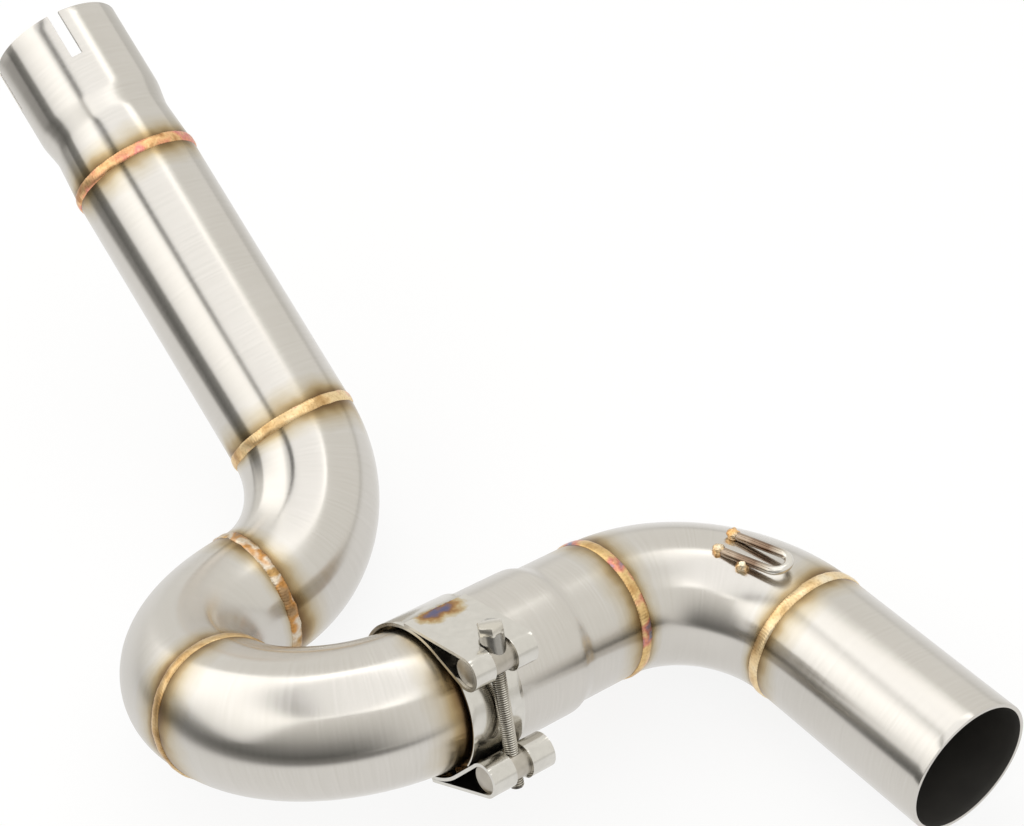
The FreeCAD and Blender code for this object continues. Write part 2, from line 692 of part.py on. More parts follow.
os.makedirs("parts", exist_ok=True)
for item in parts:
    item.Shape.exportStep(f"parts/{item.Label}.step")
    print(f"{item.Label}: {item.Shape.Volume:.1f} mm3, {len(item.Shape.Solids)} solid")
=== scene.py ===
# %% [markdown]
# # A motorcycle exhaust mid-pipe
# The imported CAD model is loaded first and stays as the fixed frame. Metal this bright shows every
# facet, so each piece is modelled again over its solid with finer, smooth-shaded faces, and then
# given the finish that it has in the photo: satin stainless tube, tinted welds and a bright clamp.

# %% Load the frame
import bpy
import math
from mathutils import Matrix, Vector


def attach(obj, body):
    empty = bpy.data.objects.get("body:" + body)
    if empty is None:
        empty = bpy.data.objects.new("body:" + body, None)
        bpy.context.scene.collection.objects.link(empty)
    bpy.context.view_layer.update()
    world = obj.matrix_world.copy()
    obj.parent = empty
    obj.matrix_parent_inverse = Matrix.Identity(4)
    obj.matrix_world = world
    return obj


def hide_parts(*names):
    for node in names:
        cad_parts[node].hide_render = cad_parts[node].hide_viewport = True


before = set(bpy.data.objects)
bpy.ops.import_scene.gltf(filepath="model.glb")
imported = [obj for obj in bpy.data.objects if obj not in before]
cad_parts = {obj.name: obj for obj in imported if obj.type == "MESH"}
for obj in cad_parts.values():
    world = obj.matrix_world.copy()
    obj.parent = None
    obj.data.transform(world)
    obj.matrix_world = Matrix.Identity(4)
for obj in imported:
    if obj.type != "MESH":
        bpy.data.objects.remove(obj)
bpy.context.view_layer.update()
MM = 0.001
print("nodes:", len(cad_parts))

# %% [markdown]
# ## Stations
# A pipe is easiest to follow from station to station. Each station is a matrix whose Z runs along
# the tube and whose X points to the centre of the next bend, with the same lengths and turns as
# the CAD source. Every piece is built on one of them, so nothing has to be fitted by eye. Lengths
# are written in millimetres and turns in degrees.

# %% Sizes along the pipe
TUBE_R = 25.5
WALL = 1.5
BEND_R = 51.0
SOCKET_LENGTH = 64.1
STRAIGHT_LENGTH = 120.6
UPPER_TURN = 86.8
MIDDLE_TURN = 87.4
MIDDLE_LEG = 6.1
LOWER_TURN = 93.1
SPIGOT_LENGTH = 43.1
JOINT_LENGTH = 73.6
OUTLET_TURN = 92.7
TAIL_LENGTH = 78.1
# The twist at a seam, from one bend's plane to the next
MIDDLE_TWIST = -128.7
LOWER_TWIST = -6.1
OUTLET_TWIST = -161.1
# The inlet's rim: its place, and its turns about Z, Y and Z again
RIM_PLACE = (-140.1174, 166.5182, 135.4911)
RIM_TURNS = (-64.29, 120.04, -102.87)
# The middle of the clamp, and the start of the outlet socket under it, from the end of the bend
CLAMP_AT = 4.8
CLAMP_TURN = 179
OUTLET_MOUTH = 0.5
print("tube:", 2 * TUBE_R, "mm across, in bends of radius", BEND_R, "mm")

# %% Stations along the pipe


def shift(x=0.0, y=0.0, z=0.0):
    return Matrix.Translation(Vector((x, y, z)) * MM)


def turn(degrees, axis):
    return Matrix.Rotation(math.radians(degrees), 4, axis)


def round_bend(degrees):
    """The step from the start of a bend to its end."""
    return shift(x=BEND_R) @ turn(degrees, "Y") @ shift(x=-BEND_R)


first, second, third = RIM_TURNS
INLET = shift(*RIM_PLACE) @ turn(first, "Z") @ turn(second, "Y") @ turn(third, "Z")
SOCKET_SEAM = INLET @ shift(z=SOCKET_LENGTH)
UPPER_SEAM = SOCKET_SEAM @ shift(z=STRAIGHT_LENGTH)
MIDDLE_SEAM = UPPER_SEAM @ round_bend(UPPER_TURN) @ turn(MIDDLE_TWIST, "Z")
LOWER_SEAM = MIDDLE_SEAM @ round_bend(MIDDLE_TURN) @ shift(z=MIDDLE_LEG) @ turn(LOWER_TWIST, "Z")
JOINT_START = LOWER_SEAM @ round_bend(LOWER_TURN)
OUTLET_SEAM = JOINT_START @ shift(z=JOINT_LENGTH) @ turn(OUTLET_TWIST, "Z")
TAIL_SEAM = OUTLET_SEAM @ round_bend(OUTLET_TURN)
CLAMP = JOINT_START @ shift(z=CLAMP_AT) @ turn(CLAMP_TURN, "Z")
for name, place in (("inlet", INLET), ("clamp", CLAMP), ("tail seam", TAIL_SEAM)):
    print(name, tuple(round(c, 4) for c in place.translation))

# %% [markdown]
# ## Camera
# The camera is the one that the photo was taken with, as far as its picture tells: the tube's edges
# give its place, its slight roll and its lens. It looks down at the pipe from about 46 degrees.

# %% Camera
camera_data = bpy.data.cameras.new("photo_camera")
camera_data.sensor_width = 36.0
camera_data.lens = 84.456
camera = bpy.data.objects.new("photo_camera", camera_data)
bpy.context.scene.collection.objects.link(camera)
right = Vector((0.98595908, -0.12000735, -0.11611599)).normalized()
up = Vector((0.16698709, 0.70857178, 0.68559561)).normalized()
backward = right.cross(up)
camera.matrix_world = Matrix((right, up, backward)).transposed().to_4x4()
camera.location = Vector((12.9655, -620.0070, 697.1125)) * MM
bpy.context.scene.camera = camera
print("camera looks along", tuple(round(-c, 3) for c in backward))

# %% [markdown]
# ## Tools for colours and nodes
# Every finish below is a small tree of nodes. One function adds a node with its settings and links,
# one turns a colour from sRGB hex to the linear values that a shader reads, and one fills a ramp.

# %% Colours and nodes


def rgb(code):
    """A colour written as sRGB hex, in the linear values that a shader reads."""
    values = [int(code[i : i + 2], 16) / 255 for i in (1, 3, 5)]
    linear = [v / 12.92 if v <= 0.04045 else ((v + 0.055) / 1.055) ** 2.4 for v in values]
    return (*linear, 1.0)


def add_node(tree, kind, settings=(), **links):
    """Adds a node, sets its properties and fills its inputs with values or other nodes' outputs.

    An input is named with underscores for spaces, or by its number as i0, i1 and so on.
    """
    node = tree.nodes.new(kind)
    for key, value in dict(settings).items():
        setattr(node, key, value)
    for key, value in links.items():
        index = int(key[1:]) if key[0] == "i" and key[1:].isdigit() else key.replace("_", " ")
        socket = node.inputs[index]
        if isinstance(value, bpy.types.NodeSocket):
            tree.links.new(value, socket)
        else:
            socket.default_value = value
    return node


def set_stops(node, stops):
    """Fills a colour ramp from pairs of place and sRGB hex colour."""
    elements = node.color_ramp.elements
    while len(elements) < len(stops):
        elements.new(0.5)
    for element, (place, code) in zip(elements, stops):
        element.position = place
        element.color = rgb(code)
    return node.outputs["Color"]


print("mid grey in linear values:", tuple(round(c, 3) for c in rgb("#808080")))

# %% [markdown]
# ## Floor and light
# The photo has a plain white ground. The floor is white paper: the camera sees it white, but a
# share of it is lit by the lamps, so the pipe keeps a soft shadow. A polished tube is a mirror, so
# the floor also has a look that only the metal sees: white paper near the pipe, and past it a
# studio floor that is dark in front and to the left, and pale to the right and behind.

# %% Floor
PAPER_GLOW = 0.85
bpy.ops.object.select_all(action="DESELECT")
bpy.ops.mesh.primitive_plane_add(size=12.0, location=(0, 0, 0))
floor = bpy.context.object
floor.name = "floor"
paper = bpy.data.materials.new("white_paper")
paper.use_nodes = True
tree = paper.node_tree
tree.nodes.clear()
ray = add_node(tree, "ShaderNodeLightPath")
watched = add_node(
    tree, "ShaderNodeMath", {"operation": "MAXIMUM"},
    i0=ray.outputs["Is Camera Ray"], i1=ray.outputs["Is Glossy Ray"],
)
share = add_node(
    tree, "ShaderNodeMath", {"operation": "MULTIPLY"}, i0=watched.outputs[0], i1=PAPER_GLOW
)
lit = add_node(tree, "ShaderNodeBsdfDiffuse", Color=rgb("#f4f3f0"))
# The paper ends about half a metre away
spot = add_node(tree, "ShaderNodeTexCoord")
away = add_node(tree, "ShaderNodeVectorMath", {"operation": "LENGTH"}, i0=spot.outputs["Object"])
table = set_stops(
    add_node(tree, "ShaderNodeValToRGB", Fac=away.outputs["Value"]),
    ((0.42, "#ffffff"), (0.60, "#5a5957")),
)
across = add_node(tree, "ShaderNodeSeparateXYZ", Vector=spot.outputs["Object"])
beyond = add_node(
    tree, "ShaderNodeMath", {"operation": "MAXIMUM"},
    i0=across.outputs["X"], i1=across.outputs["Y"],
)
pale = add_node(tree, "ShaderNodeMapRange", Value=beyond.outputs[0], From_Min=0.15, From_Max=0.45)
mirrored = add_node(
    tree, "ShaderNodeMix", {"data_type": "RGBA"},
    i0=pale.outputs[0], i6=table, i7=rgb("#e4e3e0"),
)
ground = add_node(
    tree, "ShaderNodeMix", {"data_type": "RGBA"},
    i0=ray.outputs["Is Camera Ray"], i6=mirrored.outputs[2], i7=rgb("#ffffff"),
)
glow = add_node(tree, "ShaderNodeEmission", Color=ground.outputs[2], Strength=1.0)
mixed = add_node(
    tree, "ShaderNodeMixShader", i0=share.outputs[0], i1=lit.outputs[0], i2=glow.outputs[0]
)
add_node(tree, "ShaderNodeOutputMaterial", Surface=mixed.outputs[0])
floor.data.materials.append(paper)
print("floor:", tuple(floor.dimensions))

# %% [markdown]
# The room is what the tubes mirror above the floor. It is grey low down in front and to the left,
# and pale to the right and behind. Overhead it is black. Two softboxes light it, one from above and
# one from the left, with a gap between them. They give the long bright bands on every tube, and the
# gap gives the thin dark line.

# %% Room
world = bpy.data.worlds.new("studio")
bpy.context.scene.world = world
world.use_nodes = True
tree = world.node_tree
tree.nodes.clear()
gaze = add_node(tree, "ShaderNodeTexCoord")
look = add_node(tree, "ShaderNodeSeparateXYZ", Vector=gaze.outputs["Generated"])
walls = set_stops(
    add_node(tree, "ShaderNodeValToRGB", Fac=look.outputs["Z"]),
    ((0.0, "#4a4a48"), (0.30, "#7c7b79"), (0.55, "#a3a29f"), (0.84, "#c4c3c0")),
)
side = add_node(
    tree, "ShaderNodeMath", {"operation": "MAXIMUM"}, i0=look.outputs["X"], i1=look.outputs["Y"]
)
pale = add_node(tree, "ShaderNodeMapRange", Value=side.outputs[0], From_Min=0.1, From_Max=0.5)
shade = add_node(
    tree, "ShaderNodeMix", {"data_type": "RGBA"},
    i0=pale.outputs[0], i6=walls, i7=rgb("#c4c3c0"),
)
overhead = add_node(
    tree, "ShaderNodeMapRange", Value=look.outputs["Z"],
    From_Min=0.83, From_Max=0.88, To_Min=1.8, To_Max=0.05,
)
room = add_node(
    tree, "ShaderNodeBackground", Color=shade.outputs[2], Strength=overhead.outputs[0]
)
white = add_node(tree, "ShaderNodeBackground", Color=rgb("#ffffff"), Strength=1.0)
ray = add_node(tree, "ShaderNodeLightPath")
backdrop = add_node(
    tree, "ShaderNodeMixShader",
    i0=ray.outputs["Is Camera Ray"], i1=room.outputs[0], i2=white.outputs[0],
)
add_node(tree, "ShaderNodeOutputWorld", Surface=backdrop.outputs[0])
print("world:", world.name)

# %% Lamps


def softbox(name, place, target, width, height, watts):
    """A rectangular lamp that faces a point. Its sizes are in metres."""
    lamp = bpy.data.lights.new(name, "AREA")
    lamp.shape = "RECTANGLE"
    lamp.size = width
    lamp.size_y = height
    lamp.energy = watts
    lamp_object = bpy.data.objects.new(name, lamp)
    bpy.context.scene.collection.objects.link(lamp_object)
    lamp_object.location = place
    aim = Vector(target) - Vector(place)
    lamp_object.rotation_euler = aim.to_track_quat("-Z", "Y").to_euler()
    print(name, width, "x", height, "m,", watts, "W")


softbox("left_softbox", (-0.91, 0.1, 0.97), (0.09, 0, 0.6), width=2.2, height=1.25, watts=7.8)
softbox("top_softbox", (0.2, 0.0, 1.5), (0.2, 0, 0), width=1.4, height=2.0, watts=12.0)

# %% [markdown]
# ## Tubes
# The real pipe is cut from mandrel-bent tube, so each length starts here as a ring of edges. The
# ring is extruded along a straight and spun about the centre of a bend, as a bending machine would
# do it. A Solidify modifier then gives the wall its thickness inwards and a small bevel its edges.

# %% Tools for tube
SEGMENTS = 144
TUBE_EDGE = 0.25
# Points closer than this, in metres, become one
MERGE = 0.00001


def open_ring(name, place, radius, points=SEGMENTS):
    """A ring of vertices at a station, left open in edit mode and selected."""
    bpy.ops.object.select_all(action="DESELECT")
    bpy.ops.mesh.primitive_circle_add(
        vertices=points, radius=radius * MM, location=place.translation, rotation=place.to_euler()
    )
    piece = bpy.context.object
    piece.name = name
    piece.data.name = name
    bpy.ops.object.mode_set(mode="EDIT")
    bpy.ops.mesh.select_all(action="SELECT")
    return piece


def draw_out(place, length, rings):
    """Extrudes the selected edges along the station's Z."""
    step = place.col[2].xyz * (length * MM / rings)
    for _ in range(rings):
        bpy.ops.mesh.extrude_edges_move(TRANSFORM_OT_translate={"value": step})


def spin_round(centre, axis, degrees, rings):
    """Spins the selected edges. The operator counts angles the other way round."""
    bpy.ops.mesh.spin(steps=rings, angle=math.radians(-degrees), center=centre, axis=axis)


def close_piece(piece):
    """Merges doubles, turns the faces outwards and puts the piece's place into its mesh."""
    bpy.ops.mesh.select_all(action="SELECT")
    bpy.ops.mesh.remove_doubles(threshold=MERGE)
    bpy.ops.mesh.normals_make_consistent(inside=False)
    bpy.ops.object.mode_set(mode="OBJECT")
    bpy.ops.object.transform_apply(location=True, rotation=True, scale=True)


def apply_modifier(piece, name, kind, **settings):
    modifier = piece.modifiers.new(name, kind)
    for key, value in settings.items():
        setattr(modifier, key, value)
    bpy.ops.object.modifier_apply(modifier=name)


def break_edges(piece, width, smooth_below=35):
    """Rounds the sharp edges a little, so that they catch light, and shades the rest smooth."""
    apply_modifier(
        piece, "broken_edge", "BEVEL",
        width=width * MM, segments=2, limit_method="ANGLE", angle_limit=math.radians(50),
    )
    bpy.ops.object.shade_smooth_by_angle(angle=math.radians(smooth_below))


def make_wall(piece):
    """Gives a shell of faces the tube's wall. Its inner faces take the next material slot."""
    apply_modifier(
        piece, "wall", "SOLIDIFY",
        thickness=WALL * MM, offset=-1.0, use_even_offset=True, material_offset=1,
    )
    break_edges(piece, TUBE_EDGE)


def seat(piece, slot, *nodes):
    """The piece rides on the pipe and stands for its CAD nodes. The slot is not used."""
    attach(piece, "root")
    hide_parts(*nodes)
    print(piece.name, len(piece.data.polygons), "faces")


print("a ring has", SEGMENTS, "points, one every", 360 / SEGMENTS, "degrees")

# %% [markdown]
# The finish of a tube follows the tube round its bends and changes beside the welds, and beside the
# clamp, where painted shade browns the spigot. So each point of a tube stores three things that the
# materials read as attributes: its place if the pipe were pulled straight, the way that the tube
# runs there, and its distance from the nearest heated seam or from the line of painted shade on the
# spigot. The first and the last are in millimetres.

# %% Tools for the tube's own coordinates


def bend_length(degrees):
    """The length of a bend along the middle of the tube."""
    return math.radians(degrees) * BEND_R


SOCKET_AT = SOCKET_LENGTH
UPPER_AT = SOCKET_AT + STRAIGHT_LENGTH
MIDDLE_AT = UPPER_AT + bend_length(UPPER_TURN)
LOWER_AT = MIDDLE_AT + bend_length(MIDDLE_TURN) + MIDDLE_LEG
JOINT_AT = LOWER_AT + bend_length(LOWER_TURN)
OUTLET_AT = JOINT_AT + JOINT_LENGTH
TAIL_AT = OUTLET_AT + bend_length(OUTLET_TURN)
# Painted shade, in the heat tint's colours, on the spigot just before it goes into its socket
SPIGOT_SHADE_AT = JOINT_AT - 2.5
HEAT_AND_SHADE_AT = (SOCKET_AT, UPPER_AT, MIDDLE_AT, LOWER_AT, SPIGOT_SHADE_AT, OUTLET_AT, TAIL_AT)


def pull_straight(point, place, bend, leg_place):
    """A point in the station's frame, with the bend after the station taken out."""
    x, y, z = place.inverted() @ point / MM
    if not bend or z <= 0:
        return Vector((x, y, z))
    angle = math.atan2(z, BEND_R - x)
    if angle > math.radians(bend):
        x, y, z = leg_place.inverted() @ point / MM
        return Vector((x, y, z + bend_length(bend)))
    return Vector((BEND_R - math.hypot(z, BEND_R - x), y, angle * BEND_R))


def mark_tube(piece, place, start, bend=0.0):
    """Writes the straightened place, the tube's way and the distance from the nearest heated seam
    or line of painted shade to each point.
    """
    leg_place = place @ round_bend(bend)
    places = [pull_straight(v.co, place, bend, leg_place) for v in piece.data.vertices]
    straight = piece.data.attributes.new("straight", "FLOAT_VECTOR", "POINT")
    straight.data.foreach_set("vector", [c for x, y, z in places for c in (x, y, z + start)])
    lean = [min(max(p.z / BEND_R, 0), math.radians(bend)) for p in places]
    ways = [place.to_3x3() @ Vector((math.sin(a), 0, math.cos(a))) for a in lean]
    way = piece.data.attributes.new("way", "FLOAT_VECTOR", "POINT")
    way.data.foreach_set("vector", [c for w in ways for c in w])
    seam = piece.data.attributes.new("seam", "FLOAT", "POINT")
    seam.data.foreach_set("value", [min(abs(p.z + start - at) for at in HEAT_AND_SHADE_AT) for p in places])


print("heated at", [round(at, 1) for at in HEAT_AND_SHADE_AT], "mm along the pipe")

# %% [markdown]
# ## Satin stainless steel
# The tubes are austenitic stainless, polished round and round with an abrasive belt. The belt
# leaves fine lines round the tube, which blur reflections along it but keep the long dark lines
# crisp. Heat from the weld leaves thin oxide on the steel: brown at the bead, then gold, then pale
# straw. The same ramp also paints shade: a brown band on the spigot beside the clamp's band. Noise
# that is stretched round the straightened tube draws the belt's lines, and the distance from the
# heated seam or the line of painted shade, moved a little by more noise, picks the colour.

# %% Satin stainless


def new_finish(name):
    """A metal with one shader, and its node tree."""
    material = bpy.data.materials.new(name)
    material.use_nodes = True
    tree = material.node_tree
    tree.nodes.clear()
    shader = add_node(tree, "ShaderNodeBsdfPrincipled", Metallic=1.0)
    add_node(tree, "ShaderNodeOutputMaterial", Surface=shader.outputs[0])
    return material, tree, shader


satin_stainless, tree, shader = new_finish("satin_stainless")
straight = add_node(tree, "ShaderNodeAttribute", {"attribute_name": "straight"})
# Belt lines: 0.7 mm apart along the tube and 30 mm long round it, coarser than the real grit
belt_space = add_node(
    tree, "ShaderNodeMapping", Vector=straight.outputs["Vector"], Scale=(1 / 30, 1 / 30, 1 / 0.7)
)
belt = add_node(
    tree, "ShaderNodeTexNoise", Vector=belt_space.outputs[0], Scale=1.0, Detail=3.0, Roughness=0.6
)
# Broad cloudiness, about 25 mm across and 45 mm long, where the belt dwelt or skipped
cloud_space = add_node(
    tree, "ShaderNodeMapping", Vector=straight.outputs["Vector"], Scale=(1 / 25, 1 / 25, 1 / 45)
)
cloud = add_node(tree, "ShaderNodeTexNoise", Vector=cloud_space.outputs[0], Scale=1.0, Detail=2.0)
half = add_node(
    tree, "ShaderNodeMath", {"operation": "MULTIPLY"}, i0=cloud.outputs["Fac"], i1=0.5
)
grain = add_node(
    tree, "ShaderNodeMath", {"operation": "MULTIPLY_ADD"},
    i0=belt.outputs["Fac"], i1=0.5, i2=half.outputs[0],
)
steel = set_stops(
    add_node(tree, "ShaderNodeValToRGB", Fac=grain.outputs[0]),
    ((0.35, "#c9c5be"), (0.65, "#d0ccc6")),
)
# The belt and the clouds also change how far a reflection spreads
gloss = add_node(
    tree, "ShaderNodeMath", {"operation": "MULTIPLY_ADD"}, i0=belt.outputs["Fac"], i1=0.06, i2=0.15
)
gloss = add_node(
    tree, "ShaderNodeMath", {"operation": "MULTIPLY_ADD"},
    i0=cloud.outputs["Fac"], i1=0.08, i2=gloss.outputs[0],
)
tree.links.new(gloss.outputs[0], shader.inputs["Roughness"])
# The lines run round the tube, so a reflection blurs along the tube and stays crisp round it
way = add_node(tree, "ShaderNodeAttribute", {"attribute_name": "way"})
tree.links.new(way.outputs["Vector"], shader.inputs["Tangent"])
shader.inputs["Anisotropic"].default_value = 0.85
print("made", satin_stainless.name)

# %% Heat tint and painted shade
HEAT_REACH = 14.0
HEAT_DRIFT = 3.5
seam = add_node(tree, "ShaderNodeAttribute", {"attribute_name": "seam"})
# The tint's edge wanders by a few millimetres, in patches 12 mm across
drift_space = add_node(
    tree, "ShaderNodeMapping", Vector=straight.outputs["Vector"], Scale=(1 / 12, 1 / 12, 1 / 12)
)
drift = add_node(tree, "ShaderNodeTexNoise", Vector=drift_space.outputs[0], Scale=1.0, Detail=2.0)
drift = add_node(
    tree, "ShaderNodeMath", {"operation": "MULTIPLY_ADD"},
    i0=drift.outputs["Fac"], i1=-2 * HEAT_DRIFT, i2=HEAT_DRIFT,
)
moved = add_node(
    tree, "ShaderNodeMath", {"operation": "ADD"}, i0=seam.outputs["Fac"], i1=drift.outputs[0]
)
reach = add_node(
    tree, "ShaderNodeMath", {"operation": "DIVIDE"}, i0=moved.outputs[0], i1=HEAT_REACH
)
# The ramp gives oxide beside the welds, and painted shade on the spigot beside the clamp's band
tint = set_stops(
    add_node(tree, "ShaderNodeValToRGB", Fac=reach.outputs[0]),
    (
        (0.08, "#8f7454"), (0.20, "#b39a72"), (0.32, "#d6c29c"),
        (0.46, "#ece2cd"), (0.64, "#f8f4eb"), (0.90, "#ffffff"),
    ),
)
coloured = add_node(
    tree, "ShaderNodeMix", {"data_type": "RGBA", "blend_type": "MULTIPLY"},
    i0=1.0, i6=steel, i7=tint,
)
tree.links.new(coloured.outputs[2], shader.inputs["Base Color"])
print("tint reaches", HEAT_REACH, "mm from a seam")

# %% [markdown]
# The inside of the tube is as it came from the mill, grey and scaled by heat, and almost no light
# reaches it, so its dark grey is painted shade. The wall's inner faces take this second slot from
# the Solidify modifier.

# %% Mill-finish bore with painted shade
shaded_bore, tree, shader = new_finish("mill_bore_painted_shade")
place = add_node(tree, "ShaderNodeTexCoord")
# Scale in patches about 8 mm across
scale_marks = add_node(
    tree, "ShaderNodeTexNoise", Vector=place.outputs["Object"], Scale=1 / (8 * MM), Detail=4.0
)
# Painted shade: the bore's dark grey stands in for the shade inside the tube; the faint patches are
# scale
bore_shade_colour = set_stops(
    add_node(tree, "ShaderNodeValToRGB", Fac=scale_marks.outputs["Fac"]),
    ((0.3, "#3f3d3a"), (0.7, "#45433f")),
)
tree.links.new(bore_shade_colour, shader.inputs["Base Color"])
shader.inputs["Roughness"].default_value = 0.6
shader.inputs["Metallic"].default_value = 0.3
print("made", shaded_bore.name)

# %% [markdown]
# Apart from its two sockets, the pipe has six lengths of tube. Four of them are bends, and two of
# the bends run on into a straight leg. All of them share one function, which starts at a station.

# %% Straight tube, bends and tail
BEND_RINGS = 44
LEG_RING = 3.0


def finish_tube(piece, node, place, start, bend=0.0):
    """Closes a tube's outside, gives it a wall and its own coordinates, and seats it."""
    close_piece(piece)
    piece.data.materials.append(satin_stainless)
    piece.data.materials.append(shaded_bore)
    make_wall(piece)
    mark_tube(piece, place, start, bend)
    seat(piece, "stainless_tube", node)


def tube(node, place, start, bend=0.0, leg=0.0):
    """A length of tube from a station: a bend, a straight leg or both."""
    piece = open_ring(f"satin_{node}", place, TUBE_R)
    if bend:
        centre = (place @ shift(x=BEND_R)).translation
        spin_round(centre, place.col[1].xyz, bend, BEND_RINGS)
    if leg:
        draw_out(place @ round_bend(bend), leg, max(2, round(leg / LEG_RING)))
    finish_tube(piece, node, place, start, bend)


tube("straight_tube", SOCKET_SEAM, SOCKET_AT, leg=STRAIGHT_LENGTH)
tube("upper_bend", UPPER_SEAM, UPPER_AT, bend=UPPER_TURN)
tube("middle_bend", MIDDLE_SEAM, MIDDLE_AT, bend=MIDDLE_TURN, leg=MIDDLE_LEG)
tube("lower_bend", LOWER_SEAM, LOWER_AT, bend=LOWER_TURN, leg=SPIGOT_LENGTH)
tube("outlet_bend", OUTLET_SEAM, OUTLET_AT, bend=OUTLET_TURN)
tube("tail_tube", TAIL_SEAM, TAIL_AT, leg=TAIL_LENGTH)

# %% [markdown]
# ## Sockets
# The two sockets are tube that was swollen over a plug, so they are drawn out ring by ring, and
# each new ring is scaled to the radius it has there. The clamping slots are two faces wide on
# either side of their middle, which makes them 10 degrees or 4.5 mm, so they are made by deleting
# faces.

# %% Tools for sockets
SLOTS = 4
SLOT_HALF_TURN = 5


def swell(place, z, ratio):
    """Scales the selected ring about the tube's axis."""
    centre = (place @ shift(z=z)).translation
    bpy.ops.transform.resize(value=(ratio, ratio, ratio), center_override=centre)


def slot_faces(piece, place, length):
    """Deletes the faces of the slots that start at the mouth."""
    bpy.ops.mesh.select_all(action="DESELECT")
    bpy.ops.mesh.select_mode(type="FACE")
    bpy.ops.object.mode_set(mode="OBJECT")
    to_local = place.inverted() @ piece.matrix_world
    spacing = 360 / SLOTS
    for face in piece.data.polygons:
        x, y, z = to_local @ face.center / MM
        angle = math.degrees(math.atan2(y, x))
        from_slot = abs((angle + spacing / 2) % spacing - spacing / 2)
        face.select = z < length and from_slot < SLOT_HALF_TURN
    bpy.ops.object.mode_set(mode="EDIT")
    bpy.ops.mesh.delete(type="FACE")
    bpy.ops.mesh.select_mode(type="VERT")


def socket(node, place, start, profile, slot_length):
    """A swollen tube end from pairs of depth and radius."""
    depth, radius = profile[0]
    piece = open_ring(f"satin_{node}", place, radius)
    for next_depth, next_radius in profile[1:]:
        draw_out(place, next_depth - depth, rings=1)
        swell(place, next_depth, next_radius / radius)
        depth, radius = next_depth, next_radius
    slot_faces(piece, place, slot_length)
    finish_tube(piece, node, place, start)


print("slots:", SLOTS, "in each socket, each", 2 * SLOT_HALF_TURN, "degrees wide")

# %% Sockets
INLET_SLOT_TURN = 16.5
INLET_SLOT_LENGTH = 19.5
OUTLET_SLOT_LENGTH = 15
INLET_PROFILE = (
    (0, 25.8), (4, 25.8), (9.5, 25.8), (15, 25.8), (19.5, 25.8), (25, 25.8), (31, 25.8),
    (34, 25.79), (35.5, 25.75), (36.5, 25.65), (38.5, 25.33), (41, 24.9), (43, 24.55),
    (44.5, 24.33), (46, 24.29), (48, 24.4), (52, 24.68), (57, 25.02), (61, 25.29), (64.1, 25.5),
)
OUTLET_PROFILE = (
    (0, 27.25), (5, 27.25), (10, 27.25), (15, 27.25), (22, 27.25), (30, 27.25), (37, 27.25),
    (42, 27.25), (43.2, 27.2), (44.2, 27.05), (46.1, 26.38), (48, 25.7), (49, 25.55),
    (50.2, 25.5), (56, 25.5), (62, 25.5), (68, 25.5), (73.1, 25.5),
)
inlet_place = INLET @ turn(INLET_SLOT_TURN, "Z")
outlet_place = CLAMP @ shift(z=OUTLET_MOUTH - CLAMP_AT)
socket("inlet_socket", inlet_place, 0.0, INLET_PROFILE, INLET_SLOT_LENGTH)
socket("outlet_socket", outlet_place, JOINT_AT + OUTLET_MOUTH, OUTLET_PROFILE, OUTLET_SLOT_LENGTH)

# %% [markdown]
# ## Weld beads
# A weld made by hand is a row of small puddles, each frozen over the one before like fallen coins.
# The colours on it are those of thin oxide on hot steel, from gold to pink and blue where the bead
# ran hottest. They change in patches, so noise picks them from a ramp, one ramp for each bead.

# %% Weld finishes


def weld_finish(name, stops, patch):
    """A bead whose oxide colours change in patches of a given size in millimetres."""
    material, tree, shader = new_finish(name)
    place = add_node(tree, "ShaderNodeTexCoord")
    patches = add_node(
        tree, "ShaderNodeTexNoise",
        Vector=place.outputs["Object"], Scale=1 / (patch * MM), Detail=2.0,
    )
    colour = set_stops(add_node(tree, "ShaderNodeValToRGB", Fac=patches.outputs["Fac"]), stops)
    # Soot and fine scale in the hollows, about 1 mm across
    specks = add_node(
        tree, "ShaderNodeTexNoise", Vector=place.outputs["Object"], Scale=1 / MM, Detail=2.0
    )
    speck_colour = set_stops(
        add_node(tree, "ShaderNodeValToRGB", Fac=specks.outputs["Fac"]),
        ((0.3, "#b09a80"), (0.55, "#ffffff")),
    )
    mixed = add_node(
        tree, "ShaderNodeMix", {"data_type": "RGBA", "blend_type": "MULTIPLY"},
        i0=0.35, i6=colour, i7=speck_colour,
    )
    tree.links.new(mixed.outputs[2], shader.inputs["Base Color"])
    shader.inputs["Roughness"].default_value = 0.3
    return material


BEAD_PATCH = 9
BEAD_COLOURS = {
    "warm_gold_weld": (
        (0.3, "#bf8a58"), (0.42, "#ecc28c"), (0.52, "#eeae82"),
        (0.62, "#e59088"), (0.75, "#f0cc98"),
    ),
    "gold_weld": ((0.3, "#b58e5a"), (0.46, "#e6c490"), (0.60, "#efd6a6"), (0.75, "#e4a890")),
    "silver_brown_weld": (
        (0.3, "#7a5f42"), (0.42, "#b8935e"), (0.52, "#d6cbb8"),
        (0.62, "#c48e50"), (0.72, "#a98a66"),
    ),
    "brown_gold_weld": ((0.3, "#97764c"), (0.5, "#c8a572"), (0.7, "#dcc294")),
    "pink_and_blue_weld": (
        (0.3, "#c49c66"), (0.5, "#e4c48a"), (0.6, "#d98e7c"),
        (0.68, "#8e94ac"), (0.78, "#e0bc84"),
    ),
    "pale_gold_weld": ((0.3, "#dab884"), (0.5, "#f0d6a8"), (0.7, "#f4e6c8")),
}
print("weld finishes:", len(BEAD_COLOURS))

# %% [markdown]
# One coin of the bead is modelled, a flattened and tilted sphere half sunk in the tube, and spun
# round the seam in copies. A little noise then makes the row uneven, more so on the middle bead.

# %% Weld beads
COINS = 140
# Half sizes of a coin: out from the tube, along the seam and across it
COIN_SIZE = (0.62, 1.9, 2.3)
COIN_TILT = 7
COIN_SINK = 0.1
BEAD_LUMP = 5


